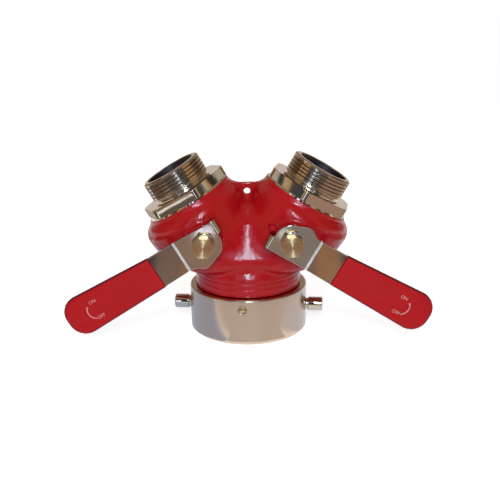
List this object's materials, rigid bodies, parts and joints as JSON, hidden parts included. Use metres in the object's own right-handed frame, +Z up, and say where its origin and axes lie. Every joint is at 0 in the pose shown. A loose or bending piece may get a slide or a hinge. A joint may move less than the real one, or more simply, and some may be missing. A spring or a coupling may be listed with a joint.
{
  "type": "ball wye valve",
  "caption": "Fire-hose wye: red cast body with a swivel inlet below and threaded outlets above, each shut by a quarter-turn ball valve with a lever.",
  "frame": {"origin": "centre of the inlet's mouth, at the lower face of the swivel collar", "axes": "+Z up along the inlet axis, +X along the levers' span to the right outlet, levers at the front on -Y"},
  "size_m": [0.2866, 0.1129, 0.1467],
  "materials": {
    "red_enamel": "gloss enamel",
    "nickel_plate": "polished nickel",
    "satin_plate": "satin turned plate",
    "plated_steel": "zinc plate",
    "brass": "machined",
    "polished_ball": "polished",
    "red_vinyl": "dipped vinyl",
    "seat_plastic": "turned",
    "rubber": "moulded"
  },
  "bodies": {
    "valve_body": {"wye_body": "red_enamel", "right_outlet_adapter": "nickel_plate", "left_outlet_adapter": "nickel_plate", "right_outlet_o_ring": "rubber", "left_outlet_o_ring": "rubber", "right_outer_seat": "seat_plastic", "left_outer_seat": "seat_plastic", "right_inner_seat": "seat_plastic", "left_inner_seat": "seat_plastic", "right_thrust_washer": "seat_plastic", "left_thrust_washer": "seat_plastic", "right_stem_packing": "seat_plastic", "left_stem_packing": "seat_plastic", "right_gland_nut": "brass", "left_gland_nut": "brass"},
    "right_valve": {"right_ball": "polished_ball", "right_stem": "brass", "right_lever": "plated_steel", "right_grip": "red_vinyl", "right_lock_washer": "plated_steel", "right_stem_nut": "brass"},
    "left_valve": {"left_ball": "polished_ball", "left_stem": "brass", "left_lever": "plated_steel", "left_grip": "red_vinyl", "left_lock_washer": "plated_steel", "left_stem_nut": "brass"},
    "inlet_collar": {"inlet_swivel": "satin_plate", "right_lug_pin": "nickel_plate", "left_lug_pin": "nickel_plate", "race_plug": "brass", "swivel_balls": "plated_steel", "inlet_gasket": "rubber"}
  },
  "joints": [
    {"name": "right_valve_turn", "type": "hinge", "parent": "valve_body", "child": "right_valve", "pos_m": [0.03375, 0, 0.08596], "axis": [0, -1, 0], "range_deg": [0, 90]},
    {"name": "left_valve_turn", "type": "hinge", "parent": "valve_body", "child": "left_valve", "pos_m": [-0.03375, 0, 0.08596], "axis": [0, 1, 0], "range_deg": [0, 90]},
    {"name": "inlet_swivel_turn", "type": "hinge", "parent": "valve_body", "child": "inlet_collar", "pos_m": [0, 0, 0.019], "axis": [0, 0, 1], "continuous": true}
  ]
}
